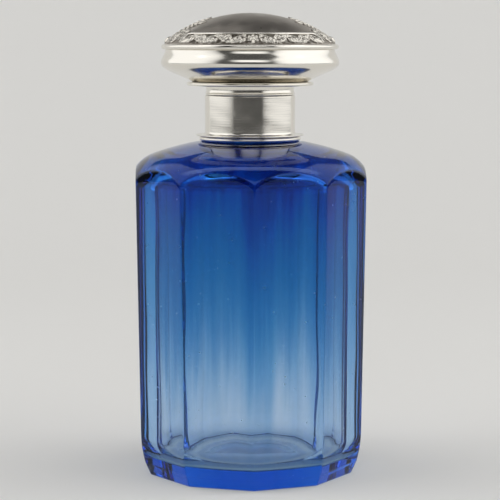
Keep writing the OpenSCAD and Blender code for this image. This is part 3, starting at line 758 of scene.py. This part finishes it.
def wireGrid(degrees):
    # one wire along the inside of a border, bent round at each end and down to the rim: loops of
    # wireR (cos t side + sin t normal) round each point of the path, smaller at its two ends
    inner, outer, bend = border["innerR"] + 0.02, border["outerR"] - 0.1, border["wireBend"]
    half = math.radians(border["halfAngle"])
    along = np.linspace(-half + bend / inner, half - bend / inner, 260)
    corner = np.linspace(0, math.pi / 2, 10)[1:]
    cornerA = half - bend / inner * (1 - np.sin(corner))
    cornerR = inner + bend * (1 - np.cos(corner))
    legR = np.linspace(inner + bend, outer, 9)[1:]
    leg = np.full(len(legR), half)
    angle = np.concatenate([-leg, -cornerA[::-1], along, cornerA, leg]) + math.radians(degrees)
    radius = np.concatenate([legR[::-1], cornerR[::-1], np.full(len(along), inner), cornerR, legR])
    path = onDome(radius * np.sin(angle), -radius * np.cos(angle), border["wireLift"])
    normal = path - np.array([0, 0, cap["domeCentreZ"]])
    normal /= np.linalg.norm(normal, axis=1)[:, None]
    tangent = np.gradient(path, axis=0)
    tangent /= np.linalg.norm(tangent, axis=1)[:, None]
    side = np.cross(tangent, normal)
    wireR = np.full(len(path), border["wireR"])
    for i, share in enumerate((0, 0.6, 0.9)):
        wireR[[i, -1 - i]] *= share
    t = np.linspace(0, 2 * math.pi, 16, endpoint=False)[None, :, None]
    ring = np.cos(t) * side[:, None] + np.sin(t) * normal[:, None]
    return path[:, None] + wireR[:, None, None] * ring


borderR = np.linspace(border["innerR"] + 0.05, border["outerR"] - 0.02, 54)
for degrees, where in ((0, "Front"), (180, "Back")):
    reliefPiece("leafBorder" + where, degrees, border["halfAngle"], borderR, border["steps"],
                borderHeight, ["leaf_border"])
shellR = np.linspace(shell["innerEnd"], border["outerR"] - 0.02, 150)
for degrees, where in ((90, "Right"), (-90, "Left")):
    reliefPiece("shell" + where, degrees, shell["halfAngle"], shellR, shell["steps"],
                shellHeight, ["shell_ornaments"])
for degrees, where in ((0, "Front"), (180, "Back")):
    gridPiece("borderWire" + where, wireGrid(degrees), "stopper", polishedSilver,
              ["border_fillets"], poles=True)
print("cap: leaf borders, shells and wires made")


def groundGlass():
    # blue glass ground into the neck with grit: a matt, frosted cone that blurs what lies behind
    # it. The grit's pits are drawn 0.4 mm apart, coarser than real ones, so that they show
    material, tree, shader, place = newMaterial("groundGlass", {
        "Base Color": linearColour("#9fb9dd"), "Roughness": 0.32, "IOR": 1.52,
        "Transmission Weight": 1.0})
    grit = addNode(tree, "ShaderNodeTexNoise", {"Vector": place, "Scale": 2500.0, "Detail": 2.0})
    bump = addNode(tree, "ShaderNodeBump", {
        "Height": grit.outputs["Fac"], "Strength": 1.0, "Distance": 0.03 * mm})
    tree.links.new(bump.outputs[0], shader.inputs["Normal"])
    return material


def plasterCement():
    # plaster of Paris, poured and set: matt, off-white, and uneven in patches of about 3 mm
    material, tree, shader, place = newMaterial("plasterOfParis", {"Roughness": 0.9, "IOR": 1.5})
    cloud = addNode(tree, "ShaderNodeTexNoise", {"Vector": place, "Scale": 300.0, "Detail": 4.0})
    ramp = addNode(tree, "ShaderNodeValToRGB", {"Fac": cloud.outputs["Fac"]})
    for element, colour in zip(ramp.color_ramp.elements, ("#d8d2c2", "#efebe0")):
        element.color = linearColour(colour)
    tree.links.new(ramp.outputs["Color"], shader.inputs["Base Color"])
    return material


plug = {"endZ": 101.7, "endR": 8.217, "dishR": 5.6, "dishDepth": 1.0, "lipZ": 112.7,
        "shankR": 8.95, "headZ": 118.45, "headTopZ": 121.65, "headR": 11.0}


def plugLine():
    # the dish in the plug's end, its rounded edge, up the ground cone and the shank, then out
    # round the head and in over its top
    p = plug
    end, endR, dishR, depth, shank = p["endZ"], p["endR"], p["dishR"], p["dishDepth"], p["shankR"]
    head, top, headR = p["headZ"], p["headTopZ"], p["headR"]
    ball = (dishR ** 2 + depth ** 2) / (2 * depth)
    r = np.linspace(0, dishR, 9)
    return profileOf(
        np.stack([r, end + depth - ball + np.sqrt(ball ** 2 - r ** 2)], axis=1),
        straight((dishR + 0.1, end), (endR - 0.5, end), 4),
        straight((endR - 0.45, end + 0.05), (endR - 0.03, end + 0.47), 4),
        straight((endR + 0.04, end + 0.6), (shank, p["lipZ"]), 14),
        straight((shank, p["lipZ"] + 0.1), (shank, head - 0.7), 5),
        straight((shank + 0.1, head - 0.55), (headR - 0.6, head), 3),
        straight((headR - 0.5, head + 0.1), (headR, head + 0.6), 3),
        straight((headR, head + 0.7), (headR, top - 0.6), 3),
        straight((headR - 0.05, top - 0.5), (headR - 0.6, top), 3),
        straight((headR - 0.7, top), (0, top), 5))


gridPiece("groundGlassPlug", turned(plugLine(), columns=128), "stopper", groundGlass(),
          ["stopper_plug"], poles=True)
cement = plasterCement()
for name in ("collar_cement", "cap_cement"):
    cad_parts[name].data.materials.clear()
    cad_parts[name].data.materials.append(cement)
print("stopper: ground plug made, cements finished")


studio = {
    "paper": "#dcdbd8", "paperGlow": 0.19,
    "halfWidth": 0.9, "near": -0.75, "bend": 0.45, "far": 0.85, "wall": 0.6,
    "worldColour": "#ffffff", "worldDim": 0.08, "worldPale": 0.64, "paleTo": 0.04, "dimFrom": 0.2,
    # softboxes: place, width and height, watts, target, fades across and down. The two at the
    # sides reach almost to the floor, so that the upright silver of the collar mirrors them
    "leftPanel": ((-0.92, 0.22, 0.91), (2.4, 1.78), 14.8, (0, 0.22, 0.91), (4.0, 24.0)),
    "rightPanel": ((0.92, -0.22, 0.91), (2.85, 1.78), 19.24, (0, -0.22, 0.91), (4.0, 24.0)),
    "frontPanel": ((-0.02, -0.95, 0.66), (1.0, 0.5), 1.8, (0, 0, 0.12), (4.0, 12.0)),
    "overheadStrip": ((0, -0.03, 1.0), (2.0, 0.25), 3.2, (0, 0, 0.1), (4.0, 12.0)),
    "lens": 133.13, "sensor": 36.0, "eye": (-0.01994, -0.5543, 0.13146), "eyeTurn": (-6.67, -2.06),
}


def sweepFloor():
    # a floor that curves up into a low backdrop, through a quarter circle: a line of (y, z)
    # points carried along x
    s = studio
    radius = s["far"] - s["bend"]
    line = profileOf(straight((s["near"], 0), (s["bend"], 0), 12),
                     arc((s["bend"], radius), radius, -90, 0, 16),
                     straight((s["far"], radius + 0.02), (s["far"], s["wall"]), 4))
    across = np.linspace(-s["halfWidth"], s["halfWidth"], 9)
    grid = np.stack(np.broadcast_arrays(across[None, :], line[:, :1], line[:, 1:]), axis=-1)
    index = np.arange(grid.shape[0] * grid.shape[1]).reshape(grid.shape[:2])
    faces = np.stack([index[:-1, :-1], index[:-1, 1:], index[1:, 1:], index[1:, :-1]], axis=-1)
    mesh = bpy.data.meshes.new("studioSweep")
    mesh.from_pydata(grid.reshape(-1, 3).tolist(), [], faces.reshape(-1, 4).tolist())
    mesh.shade_smooth()
    # white background paper: matt, and a little self-bright where the eye, metal and glass see it
    material, tree, shader, _ = newMaterial("paperSweep", {
        "Base Color": linearColour(s["paper"]), "Roughness": 0.85,
        "Emission Color": linearColour(s["paper"])})
    path = addNode(tree, "ShaderNodeLightPath")
    seen = addNode(tree, "ShaderNodeMath", {
        0: path.outputs["Is Camera Ray"], 1: path.outputs["Is Glossy Ray"]}, operation="MAXIMUM")
    seen = addNode(tree, "ShaderNodeMath", {
        0: seen.outputs[0], 1: path.outputs["Is Transmission Ray"]}, operation="MAXIMUM")
    glow = addNode(tree, "ShaderNodeMath", {0: seen.outputs[0], 1: s["paperGlow"]},
                   operation="MULTIPLY")
    tree.links.new(glow.outputs[0], shader.inputs["Emission Strength"])
    mesh.materials.append(material)
    sweep = bpy.data.objects.new("studioSweep", mesh)
    bpy.context.scene.collection.objects.link(sweep)


def addPanel(name, place, size, watts, target, fades):
    # a rectangular softbox that faces the target, brightest in its middle: the light is
    # 1 - |2u - 1| ^ fade across, times the same down
    lamp = bpy.data.lights.new(name, "AREA")
    lamp.shape, lamp.size, lamp.size_y, lamp.energy = "RECTANGLE", size[0], size[1], watts
    lamp.use_nodes = True
    tree = lamp.node_tree
    spot = addNode(tree, "ShaderNodeNewGeometry").outputs["Parametric"]
    spot = addNode(tree, "ShaderNodeSeparateXYZ", {0: spot})
    shares = []
    for axis, fade in zip(("X", "Y"), fades):
        span = addNode(tree, "ShaderNodeMath", {0: spot.outputs[axis], 1: 2.0, 2: -1.0},
                       operation="MULTIPLY_ADD")
        span = addNode(tree, "ShaderNodeMath", {0: span.outputs[0]}, operation="ABSOLUTE")
        span = addNode(tree, "ShaderNodeMath", {0: span.outputs[0], 1: fade}, operation="POWER")
        span = addNode(tree, "ShaderNodeMath", {0: 1.0, 1: span.outputs[0]}, operation="SUBTRACT")
        shares.append(span.outputs[0])
    soft = addNode(tree, "ShaderNodeMath", dict(enumerate(shares)), operation="MULTIPLY")
    tree.links.new(soft.outputs[0], tree.nodes["Emission"].inputs["Strength"])
    panel = bpy.data.objects.new(name, lamp)
    bpy.context.scene.collection.objects.link(panel)
    panel.location = place
    away = np.array(place, float) - np.array(target, float)
    panel.rotation_euler = (math.atan2(math.hypot(away[0], away[1]), away[2]), 0,
                            math.atan2(away[1], away[0]) + math.pi / 2)


def addWorld():
    # dim all round for metal, and pale low down where the eye or glass looks past the sweep
    s = studio
    world = bpy.data.worlds.new("studioWorld")
    bpy.context.scene.world = world
    world.use_nodes = True
    tree = world.node_tree
    background = tree.nodes["Background"]
    background.inputs["Color"].default_value = linearColour(s["worldColour"])
    path = addNode(tree, "ShaderNodeLightPath")
    seen = addNode(tree, "ShaderNodeMath", {
        0: path.outputs["Is Camera Ray"], 1: path.outputs["Is Transmission Ray"]},
        operation="MAXIMUM")
    aim = addNode(tree, "ShaderNodeTexCoord").outputs["Generated"]
    aim = addNode(tree, "ShaderNodeSeparateXYZ", {0: aim})
    low = addNode(tree, "ShaderNodeMapRange", {
        "Value": aim.outputs["Z"], "From Min": s["paleTo"], "From Max": s["dimFrom"],
        "To Min": s["worldPale"], "To Max": s["worldDim"]})
    strength = addNode(tree, "ShaderNodeMapRange", {
        "Value": seen.outputs[0], "To Min": s["worldDim"], "To Max": low.outputs[0]})
    tree.links.new(strength.outputs[0], background.inputs["Strength"])


def addCamera():
    # a level view along +Y, turned down and to the right by the two angles of eyeTurn
    lens = bpy.data.cameras.new("camera")
    lens.lens, lens.sensor_width = studio["lens"], studio["sensor"]
    camera = bpy.data.objects.new("camera", lens)
    bpy.context.scene.collection.objects.link(camera)
    camera.location = studio["eye"]
    down, right = studio["eyeTurn"]
    camera.rotation_euler = (math.radians(90 + down), 0, math.radians(right))
    bpy.context.scene.camera = camera


sweepFloor()
for name in ("leftPanel", "rightPanel", "frontPanel", "overheadStrip"):
    addPanel(name, *studio[name])
addWorld()
addCamera()
bpy.context.scene.view_settings.view_transform = "Standard"
print("studio: sweep, panels, world and camera placed")
